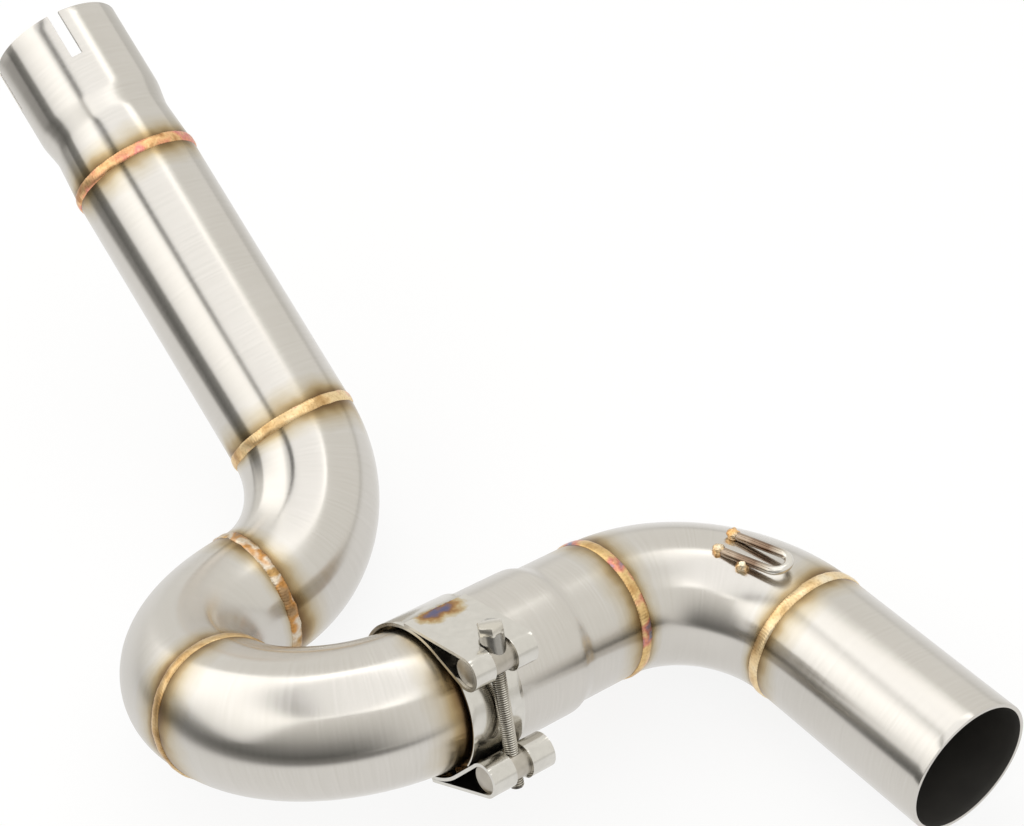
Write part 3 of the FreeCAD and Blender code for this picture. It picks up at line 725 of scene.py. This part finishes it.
def roughen(piece, name, size, height):
    """Moves the surface in and out by noise, with the size and height of its lumps in mm."""
    lumps = bpy.data.textures.new(name, "CLOUDS")
    lumps.noise_scale = size * MM
    apply_modifier(
        piece, "uneven", "DISPLACE",
        texture=lumps, strength=height * MM, texture_coords="LOCAL",
    )
    bpy.ops.object.shade_smooth_by_angle(angle=math.radians(60))


def coin_bead(node, place, unevenness, finish):
    """A ring of overlapping coins round a seam."""
    bpy.ops.object.select_all(action="DESELECT")
    bpy.ops.mesh.primitive_uv_sphere_add(segments=12, ring_count=8, radius=MM)
    piece = bpy.context.object
    piece.name = f"{node}_coins"
    piece.data.name = piece.name
    on_tube = place @ shift(x=TUBE_R - COIN_SINK) @ turn(COIN_TILT, "Z")
    piece.matrix_world = on_tube @ Matrix.Diagonal((*COIN_SIZE, 1.0))
    bpy.ops.object.transform_apply(location=True, rotation=True, scale=True)
    bpy.ops.object.mode_set(mode="EDIT")
    bpy.ops.mesh.select_all(action="SELECT")
    bpy.ops.mesh.spin(
        steps=COINS - 1, angle=2 * math.pi * (COINS - 1) / COINS, dupli=True,
        center=place.translation, axis=place.col[2].xyz,
    )
    close_piece(piece)
    roughen(piece, f"{node}_lumps", BEAD_LUMP, unevenness)
    piece.data.materials.append(finish)
    seat(piece, "weld_bead", node)


for node, place, unevenness, name in (
    ("socket_weld", SOCKET_SEAM, 0.5, "warm_gold_weld"),
    ("upper_weld", UPPER_SEAM, 0.5, "gold_weld"),
    ("middle_weld", MIDDLE_SEAM, 1.0, "silver_brown_weld"),
    ("lower_weld", LOWER_SEAM, 0.5, "brown_gold_weld"),
    ("outlet_weld", OUTLET_SEAM, 0.5, "pink_and_blue_weld"),
    ("tail_weld", TAIL_SEAM, 0.4, "pale_gold_weld"),
):
    coin_bead(node, place, unevenness, weld_finish(name, BEAD_COLOURS[name], BEAD_PATCH))

# %% [markdown]
# ## Spring hook
# The hook is one bent wire: a ring of edges is extruded along the first leg, spun half a turn
# round the crook and extruded back. The welds browned its legs, and the crook stayed bright, so
# each point stores its place along the hook and a ramp turns that into the colour of the wire.

# %% Spring hook
# The hook's place: round the bend, round the tube and out from its axis, then skewed and tipped
HOOK_ROUND_BEND = 58.8
HOOK_ROUND_TUBE = -81.7
HOOK_OUT = 27.1
HOOK_SKEW = -17
HOOK_TIP = 9
hook_foot = OUTLET_SEAM @ round_bend(HOOK_ROUND_BEND) @ turn(HOOK_ROUND_TUBE, "Z")
HOOK = hook_foot @ shift(x=HOOK_OUT) @ turn(HOOK_SKEW, "X") @ turn(HOOK_TIP, "Y")
WIRE_R = 1.6
CROOK_R = 4.7
LEG_FOOT = -6.0
LEG_LENGTH = 19.5
hook = open_ring("bent_wire_hook", HOOK @ shift(y=CROOK_R, z=LEG_FOOT), WIRE_R, points=28)
draw_out(HOOK, LEG_LENGTH, rings=6)
crook = HOOK @ shift(z=LEG_FOOT + LEG_LENGTH)
spin_round(crook.translation, HOOK.col[0].xyz, degrees=180, rings=20)
draw_out(HOOK, -LEG_LENGTH, rings=6)
bpy.ops.mesh.select_all(action="SELECT")
bpy.ops.mesh.fill_holes(sides=40)
close_piece(hook)
break_edges(hook, width=0.3, smooth_below=40)
HOOK_SPAN = 20
from_hook = HOOK.inverted()
along = hook.data.attributes.new("along", "FLOAT", "POINT")
along.data.foreach_set(
    "value", [(from_hook @ v.co).z / (HOOK_SPAN * MM) for v in hook.data.vertices]
)
wire, tree, shader = new_finish("heat_browned_wire")
along = add_node(tree, "ShaderNodeAttribute", {"attribute_name": "along"})
wire_colour = set_stops(
    add_node(tree, "ShaderNodeValToRGB", Fac=along.outputs["Fac"]),
    (
        (0.0, "#a39280"), (0.10, "#8d7866"), (0.42, "#7c6655"),
        (0.62, "#b3a797"), (0.80, "#dcd8d0"),
    ),
)
tree.links.new(wire_colour, shader.inputs["Base Color"])
shader.inputs["Roughness"].default_value = 0.2
hook.data.materials.append(wire)
seat(hook, "hook_wire", "spring_hook")

# %% [markdown]
# Three tack welds hold the hook, two at its feet and one beside a leg. They are small spheres, sunk
# in the tube and roughened, because a tack is a blob that freezes as it falls.

# %% Tack welds
TACKS = HOOK @ turn(-HOOK_TIP, "Y")
TACK_R = 2.3
TACK_LUMP = 1.5
TACK_HEIGHT = 1.6
TACK_SPOTS = ((-0.9, 4.7, -6.4), (-0.9, -4.7, -6.4), (-1.0, 6.0, 4.0))


def blobs(name, radius, places, segments, rings):
    """Spheres in one mesh, left open in edit mode."""
    bpy.ops.object.select_all(action="DESELECT")
    for place in places:
        bpy.ops.mesh.primitive_uv_sphere_add(
            segments=segments, ring_count=rings, radius=radius * MM, location=place.translation
        )
        bpy.ops.object.mode_set(mode="EDIT")
    piece = bpy.context.object
    piece.name = name
    return piece


tack_places = [TACKS @ shift(*spot) for spot in TACK_SPOTS]
tacks = blobs("hook_tacks", TACK_R, tack_places, segments=32, rings=20)
close_piece(tacks)
roughen(tacks, "tack_lumps", TACK_LUMP, TACK_HEIGHT)
GOLD_TACK = ((0.3, "#c98f58"), (0.5, "#eec184"), (0.7, "#f0e6cc"))
tacks.data.materials.append(weld_finish("gold_tack", GOLD_TACK, patch=5))
seat(tacks, "tack_weld", "hook_welds")

# %% [markdown]
# ## Clamp
# The clamp is one strip of bright steel. It goes round the socket, and each end is folded round a
# barrel and back onto itself. So it starts as a line of points across the strip, and the line is
# spun and extruded along that path. The sizes are radii to the middle of the strip and angles round
# the socket: the strip leaves the ring at LIFT, lands on it again at LAND and ends at TAIL.

# %% Tools for the strip
BOLT_X = 31.2
BARREL_Y = 19.5
RING_R, FOLD_R, LOOP_R = 27.9, 29.15, 5.65
LIFT, LAND, TAIL = 56.2, 82.3, 87.3
RUN_STEPS = 6
STRIP_STEP = 2


def round_way(radius, degrees):
    """A place on a circle round the clamp's axis."""
    return Vector((math.cos(math.radians(degrees)), math.sin(math.radians(degrees)), 0)) * radius


def line_of_points(name, place, steps):
    """A chain of edges from a station, one for each step in its frame."""
    bpy.ops.object.select_all(action="DESELECT")
    bpy.ops.mesh.primitive_plane_add(size=MM, location=place.translation)
    piece = bpy.context.object
    piece.name = name
    piece.data.name = name
    bpy.ops.object.mode_set(mode="EDIT")
    bpy.ops.mesh.merge(type="CENTER")
    for step in steps:
        way = place.to_3x3() @ Vector(step) * MM
        bpy.ops.mesh.extrude_vertices_move(TRANSFORM_OT_translate={"value": way})
    bpy.ops.mesh.select_all(action="SELECT")
    return piece


def start_strip(name, start, width):
    """A line of points across a strip of a given width, from a place round the clamp."""
    steps = width // STRIP_STEP
    place = CLAMP @ shift(start.x, start.y, -width / 2)
    return line_of_points(name, place, [(0, 0, STRIP_STEP)] * steps)


def spin_strip(centre, degrees, rings):
    spin_round((CLAMP @ shift(*centre)).translation, CLAMP.col[2].xyz, degrees, rings)


def run_strip(way):
    step = CLAMP.to_3x3() @ way * (MM / RUN_STEPS)
    for _ in range(RUN_STEPS):
        bpy.ops.mesh.extrude_edges_move(TRANSFORM_OT_translate={"value": step})


def fold_path(side):
    """The barrel's place, and the runs from the fold to its loop and from the loop to the ring."""
    barrel = Vector((BOLT_X, side * BARREL_Y, 0))
    fold_run = barrel + round_way(LOOP_R - FOLD_R, side * LAND)
    lift_run = round_way(RING_R + LOOP_R, side * LIFT) - barrel
    return barrel, fold_run, lift_run


print("folds run", round(fold_path(1)[1].length, 2), "mm from the ring to a barrel")

# %% Strip
STRIP_WIDTH = 26
STRIP_THICKNESS = 1.2
STRIP_EDGE = 0.2
AXIS = Vector((0, 0, 0))
FOLD_TURN = LAND - TAIL
LOOP_TURN = LIFT - 180 - LAND
band = start_strip("bright_strip_band", round_way(FOLD_R, TAIL), STRIP_WIDTH)
barrel, fold_run, lift_run = fold_path(1)
spin_strip(AXIS, FOLD_TURN, rings=3)
run_strip(fold_run)
spin_strip(barrel, LOOP_TURN, rings=60)
run_strip(lift_run)
spin_strip(AXIS, 360 - 2 * LIFT, rings=90)
barrel, fold_run, lift_run = fold_path(-1)
run_strip(-lift_run)
spin_strip(barrel, LOOP_TURN, rings=60)
run_strip(-fold_run)
spin_strip(AXIS, FOLD_TURN, rings=3)
close_piece(band)
apply_modifier(band, "sheet", "SOLIDIFY", thickness=STRIP_THICKNESS * MM, offset=0.0)
print(band.name, len(band.data.polygons), "faces")

# %% [markdown]
# The bolt and its sleeve pass through windows in the folds. On the real strip they are punched,
# with a round end. Here a rod and a block are cut out of each fold with a Boolean modifier.

# %% Windows in the strip
ALONG_BOLT = CLAMP @ shift(x=BOLT_X) @ turn(-90, "X")
WINDOW_Y = 20
WINDOW_DEPTH = 23
WINDOW_REACH = 10


def rod(name, place, radius, length, points=64):
    """A cylinder along a station's Z, with its middle there."""
    bpy.ops.object.select_all(action="DESELECT")
    bpy.ops.mesh.primitive_cylinder_add(
        vertices=points, radius=radius * MM, depth=length * MM,
        location=place.translation, rotation=place.to_euler(),
    )
    piece = bpy.context.object
    piece.name = name
    bpy.ops.object.transform_apply(location=True, rotation=True, scale=True)
    return piece


def block(name, place, sizes):
    """A box with its middle at a station."""
    bpy.ops.object.select_all(action="DESELECT")
    bpy.ops.mesh.primitive_cube_add(size=MM)
    piece = bpy.context.object
    piece.name = name
    piece.matrix_world = place @ Matrix.Diagonal((*sizes, 1))
    bpy.ops.object.transform_apply(location=True, rotation=True, scale=True)
    return piece


def take_away(piece, cutter):
    """Cuts one object out of another and deletes it."""
    bpy.ops.object.select_all(action="DESELECT")
    bpy.context.view_layer.objects.active = piece
    piece.select_set(True)
    apply_modifier(piece, "cut", "BOOLEAN", operation="DIFFERENCE", solver="EXACT", object=cutter)
    bpy.data.objects.remove(cutter)


for side, half in ((1, 3.5), (-1, 4.7)):
    take_away(band, rod("round_window", ALONG_BOLT @ shift(z=side * WINDOW_Y), half, WINDOW_DEPTH))
    middle = CLAMP @ shift(BOLT_X + WINDOW_REACH / 2, side * WINDOW_Y)
    take_away(band, block("window", middle, (WINDOW_REACH, WINDOW_DEPTH, 2 * half)))
break_edges(band, STRIP_EDGE)
print(band.name, len(band.data.polygons), "faces with its windows")

# %% [markdown]
# The strip is rolled and bright, with faint marks. Where each fold was welded down, heat left rings
# of colour: blue and violet at the weld, then brown, then straw. Each point of the strip stores its
# distance from the nearest fold weld for that.

# %% Bright strip
FOLD_HEAT_REACH = 8.5
FOLD_HEAT_DRIFT = 2.5
strip_steel, tree, shader = new_finish("bright_rolled_strip")
place = add_node(tree, "ShaderNodeTexCoord")
# Rolling marks, about 3 mm across
marks = add_node(
    tree, "ShaderNodeTexNoise", Vector=place.outputs["Object"], Scale=1 / (3 * MM), Detail=3.0
)
steel = set_stops(
    add_node(tree, "ShaderNodeValToRGB", Fac=marks.outputs["Fac"]),
    ((0.3, "#cdcac3"), (0.7, "#d4d1ca")),
)
fold = add_node(tree, "ShaderNodeAttribute", {"attribute_name": "fold"})
drift = add_node(
    tree, "ShaderNodeMath", {"operation": "MULTIPLY_ADD"},
    i0=marks.outputs["Fac"], i1=2 * FOLD_HEAT_DRIFT, i2=-FOLD_HEAT_DRIFT,
)
moved = add_node(
    tree, "ShaderNodeMath", {"operation": "ADD"}, i0=fold.outputs["Fac"], i1=drift.outputs[0]
)
reach = add_node(
    tree, "ShaderNodeMath", {"operation": "DIVIDE"}, i0=moved.outputs[0], i1=FOLD_HEAT_REACH
)
tint = set_stops(
    add_node(tree, "ShaderNodeValToRGB", Fac=reach.outputs[0]),
    (
        (0.08, "#7c7ba4"), (0.20, "#9a8088"), (0.30, "#b08258"), (0.42, "#d4ab74"),
        (0.58, "#efddb8"), (0.80, "#ffffff"),
    ),
)
coloured = add_node(
    tree, "ShaderNodeMix", {"data_type": "RGBA", "blend_type": "MULTIPLY"},
    i0=1.0, i6=steel, i7=tint,
)
tree.links.new(coloured.outputs[2], shader.inputs["Base Color"])
gloss = add_node(
    tree, "ShaderNodeMath", {"operation": "MULTIPLY_ADD"}, i0=marks.outputs["Fac"], i1=0.04, i2=0.14
)
tree.links.new(gloss.outputs[0], shader.inputs["Roughness"])


HALF_SEAM = 4


def seat_strip(piece, node):
    """Writes each point's distance from the nearest fold weld, in mm, and seats the piece."""
    seam = round_way(FOLD_R, LAND)
    from_clamp = CLAMP.inverted()
    distances = []
    for vertex in piece.data.vertices:
        x, y, z = from_clamp @ vertex.co / MM
        beyond = max(0, abs(z) - HALF_SEAM)
        distances.append(math.hypot(x - seam.x, abs(y) - seam.y, beyond))
    fold = piece.data.attributes.new("fold", "FLOAT", "POINT")
    fold.data.foreach_set("value", distances)
    piece.data.materials.append(strip_steel)
    seat(piece, "clamp_strip", node)


seat_strip(band, "clamp_band")

# %% [markdown]
# A thin curved plate lies under the bolt and closes the gap between the two folds. It is a short
# arc of strip, made like the band.

# %% Bridge
BRIDGE_R = 27.7
BRIDGE_TURN = 83.4
BRIDGE_WIDTH = 22
BRIDGE_THICKNESS = 0.8
bridge_start = round_way(BRIDGE_R, -BRIDGE_TURN / 2)
bridge = start_strip("bright_strip_bridge", bridge_start, BRIDGE_WIDTH)
spin_strip(AXIS, BRIDGE_TURN, rings=32)
close_piece(bridge)
apply_modifier(bridge, "sheet", "SOLIDIFY", thickness=BRIDGE_THICKNESS * MM, offset=0.0)
break_edges(bridge, STRIP_EDGE)
seat_strip(bridge, "clamp_bridge")

# %% [markdown]
# ## Barrels, sleeve and bolt
# The two barrels are turned rods with a cross hole. The sleeve is a short tube whose end is
# hollowed to sit on its barrel. All three are rods here, with other rods cut out of them. Turned
# steel is duller than the strip, and the sleeve is a little greyer.

# %% Barrels and sleeve
BARREL_R = 5.0
BARREL_LENGTH = 24
TAPPED_HOLE_R = 2.52
PLAIN_HOLE_R = 2.65
SLEEVE_R = 4.2
SLEEVE_LENGTH = 10
SLEEVE_Z = -24.5
SLEEVE_HOLE_Z = -25
CROSS_LENGTH = 12
HOLE_LENGTH = 14
HOLE_POINTS = 32
GLOSS_SPREAD = 0.12


def turned_finish(name, stops, roughness):
    """A turned metal whose colour and gloss change a little, in patches about 4 mm across."""
    material, tree, shader = new_finish(name)
    place = add_node(tree, "ShaderNodeTexCoord")
    patches = add_node(
        tree, "ShaderNodeTexNoise", Vector=place.outputs["Object"], Scale=1 / (4 * MM), Detail=3.0
    )
    colour = set_stops(add_node(tree, "ShaderNodeValToRGB", Fac=patches.outputs["Fac"]), stops)
    tree.links.new(colour, shader.inputs["Base Color"])
    gloss = add_node(
        tree, "ShaderNodeMath", {"operation": "MULTIPLY_ADD"},
        i0=patches.outputs["Fac"], i1=GLOSS_SPREAD, i2=roughness,
    )
    tree.links.new(gloss.outputs[0], shader.inputs["Roughness"])
    return material


turned_steel = turned_finish(
    "turned_steel", ((0.3, "#aaa499"), (0.7, "#bdb7ac")), roughness=0.28
)
grey_steel = turned_finish(
    "grey_turned_steel", ((0.3, "#9a9791"), (0.7, "#b4b1ab")), roughness=0.2
)
for node, side, hole in (("tapped_barrel", 1, TAPPED_HOLE_R), ("plain_barrel", -1, PLAIN_HOLE_R)):
    barrel_place = CLAMP @ shift(BOLT_X, side * BARREL_Y)
    barrel = rod(f"turned_{node}", barrel_place, BARREL_R, BARREL_LENGTH)
    hole_place = ALONG_BOLT @ shift(z=side * BARREL_Y)
    take_away(barrel, rod("cross_hole", hole_place, hole, CROSS_LENGTH, HOLE_POINTS))
    break_edges(barrel, width=0.3)
    barrel.data.materials.append(turned_steel)
    seat(barrel, "barrel_steel", node)
sleeve = rod("turned_sleeve", ALONG_BOLT @ shift(z=SLEEVE_Z), SLEEVE_R, SLEEVE_LENGTH)
take_away(sleeve, rod("barrel_crown", CLAMP @ shift(BOLT_X, -BARREL_Y), BARREL_R, BARREL_LENGTH))
sleeve_hole = ALONG_BOLT @ shift(z=SLEEVE_HOLE_Z)
take_away(sleeve, rod("bolt_hole", sleeve_hole, PLAIN_HOLE_R, HOLE_LENGTH, HOLE_POINTS))
break_edges(sleeve, width=0.2)
sleeve.data.materials.append(grey_steel)
seat(sleeve, "sleeve_steel", "clamp_sleeve")

# %% [markdown]
# The bolt is fully threaded and zinc plated. One tooth of the thread is a zig-zag of four points,
# and a Screw modifier winds it along the bolt. The head is a rod of six sides, inset and dished as
# it was forged. The roots of the thread, which are 0.4 mm deep, get painted shade: each point
# stores its height above the root and a ramp darkens the low ones.

# %% Bolt
PITCH = 0.8
THREAD_TURNS = 70
ROOT_R = 2.12
DEPTH = 0.38
FLANK = 0.3
CREST = 0.2
THREAD_Z = -29.5
CORE_R = 2.15
CORE_LENGTH = 57
CORE_Z = -1
HEAD_WIDTH = 8
HEAD_HEIGHT = 3.5
HEAD_RIM = 2.3
DISH_SLOPE = 0.9
DISH_DEPTH = 0.7
TOOTH = [(DEPTH, 0, FLANK), (0, 0, CREST), (-DEPTH, 0, FLANK)]
bolt = line_of_points("threaded_bolt", shift(x=ROOT_R, z=THREAD_Z), TOOTH)
close_piece(bolt)
apply_modifier(
    bolt, "thread", "SCREW", axis="Z", angle=2 * math.pi, screw_offset=PITCH * MM,
    iterations=THREAD_TURNS, steps=24, render_steps=24,
    use_merge_vertices=True, merge_threshold=MERGE,
)
core = rod("core", shift(z=CORE_Z), CORE_R, CORE_LENGTH, points=24)
head_place = shift(z=THREAD_Z - HEAD_HEIGHT / 2)
head = rod("head", head_place, HEAD_WIDTH / math.sqrt(3), HEAD_HEIGHT, points=6)
for face in head.data.polygons:
    face.select = face.normal.z < -0.9
bpy.ops.object.mode_set(mode="EDIT")
bpy.ops.mesh.select_mode(type="FACE")
bpy.ops.mesh.inset(thickness=HEAD_RIM * MM)
bpy.ops.mesh.inset(thickness=DISH_SLOPE * MM)
bpy.ops.transform.translate(value=(0, 0, DISH_DEPTH * MM))
bpy.ops.mesh.select_mode(type="VERT")
bpy.ops.object.mode_set(mode="OBJECT")
break_edges(head, width=0.45)
print("thread:", len(bolt.data.polygons), "faces, head:", len(head.data.polygons))

# %% Bolt in one piece
CREST_FROM = 2.1
bpy.ops.object.select_all(action="DESELECT")
for item in (bolt, core, head):
    item.select_set(True)
bpy.context.view_layer.objects.active = bolt
bpy.ops.object.join()
crest = bolt.data.attributes.new("crest", "FLOAT", "POINT")
crest.data.foreach_set(
    "value", [math.hypot(v.co.x, v.co.y) / MM - CREST_FROM for v in bolt.data.vertices]
)
bolt.matrix_world = ALONG_BOLT
bpy.ops.object.transform_apply(location=True, rotation=True, scale=True)
bpy.ops.object.shade_smooth_by_angle(angle=math.radians(30))
zinc, tree, shader = new_finish("zinc_steel_with_root_shade")
crest = add_node(tree, "ShaderNodeAttribute", {"attribute_name": "crest"})
# Painted shade: the ramp darkens the thread's roots, and the crests and the head stay bright
zinc_and_root_shade = set_stops(
    add_node(tree, "ShaderNodeValToRGB", Fac=crest.outputs["Fac"]),
    ((0.0, "#4f4b44"), (0.36, "#d2cdc2")),
)
tree.links.new(zinc_and_root_shade, shader.inputs["Base Color"])
shader.inputs["Roughness"].default_value = 0.2
bolt.data.materials.append(zinc)
seat(bolt, "bolt_steel", "clamp_bolt")

# %% [markdown]
# Each fold is held by a short row of welds across the strip, one small blob repeated by an Array
# modifier. They are the hottest spots on the clamp, so they are blue and violet.

# %% Fold welds
FOLD_WELD_R = 1.1
FOLD_WELD_SINK = 0.5
FOLD_WELDS = 8
FOLD_WELD_STEP = 2
seam = round_way(FOLD_R - FOLD_WELD_SINK, TAIL)
first_z = -FOLD_WELD_STEP * (FOLD_WELDS - 1) / 2
seam_places = [CLAMP @ shift(seam.x, side * seam.y, first_z) for side in (1, -1)]
folds = blobs("fold_welds", FOLD_WELD_R, seam_places, segments=20, rings=12)
close_piece(folds)
apply_modifier(
    folds, "row", "ARRAY", count=FOLD_WELDS, use_relative_offset=False, use_constant_offset=True,
    constant_offset_displace=CLAMP.col[2].xyz * (FOLD_WELD_STEP * MM),
)
bpy.ops.object.shade_smooth_by_angle(angle=math.radians(60))
VIOLET = ((0.3, "#5b5a86"), (0.45, "#7c7ba6"), (0.58, "#9a7a78"), (0.7, "#a87a50"))
folds.data.materials.append(weld_finish("violet_fold_weld", VIOLET, patch=4))
seat(folds, "seam_weld", "band_welds")

# %% [markdown]
# ## Colours
# The new pieces have to fill the same box as the solids that they stand for. The colours are shown
# as they are, with no film look.

# %% Done
bpy.context.scene.view_settings.view_transform = "Standard"
